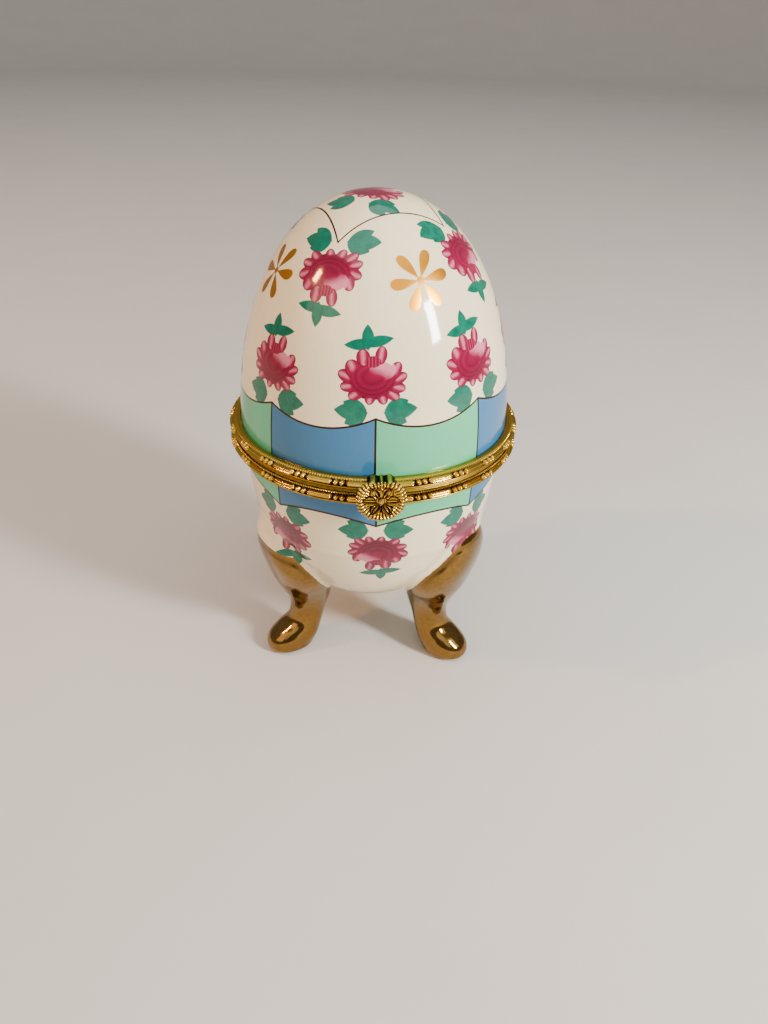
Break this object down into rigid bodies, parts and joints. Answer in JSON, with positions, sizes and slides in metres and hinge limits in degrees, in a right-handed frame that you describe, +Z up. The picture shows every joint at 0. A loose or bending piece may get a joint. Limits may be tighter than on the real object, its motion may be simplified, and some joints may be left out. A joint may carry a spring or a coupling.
{
  "type": "hinged egg trinket box",
  "caption": "Upright hollow porcelain egg on cast legs that opens at the middle on brass bezel rims, with a back hinge and a front flower clasp.",
  "frame": {"origin": "on the egg's axis, on the floor under its three feet", "axes": "+Z up along the egg's axis; the clasp is in front at -Y and the hinge is behind at +Y"},
  "size_m": [0.064, 0.07, 0.1075],
  "materials": {
    "porcelain": "clear gloss glaze over printed flowers, coloured band and fine gold lines",
    "gilded_porcelain": "clear gloss glaze over printed flowers, with bright gold lustre fired on the legs",
    "rim_brass": "bright stamped bead-and-reel strip",
    "clasp_brass": "bright cast flower, darker in its hollows",
    "hinge_brass": "plain satin brass"
  },
  "bodies": {
    "base": {"base_bowl": "gilded_porcelain", "base_rim": "rim_brass", "clasp_stud": "clasp_brass", "base_hinge_leaf": "hinge_brass", "hinge_pin": "hinge_brass"},
    "lid": {"lid_shell": "porcelain", "lid_rim": "rim_brass", "flower_clasp": "clasp_brass", "lid_hinge_leaf": "hinge_brass"}
  },
  "joints": [
    {"name": "lid_hinge", "type": "hinge", "parent": "base", "child": "lid", "pos_m": [0, 0.0336, 0.0585], "axis": [-1, 0, 0], "range_deg": [0, 100]}
  ]
}
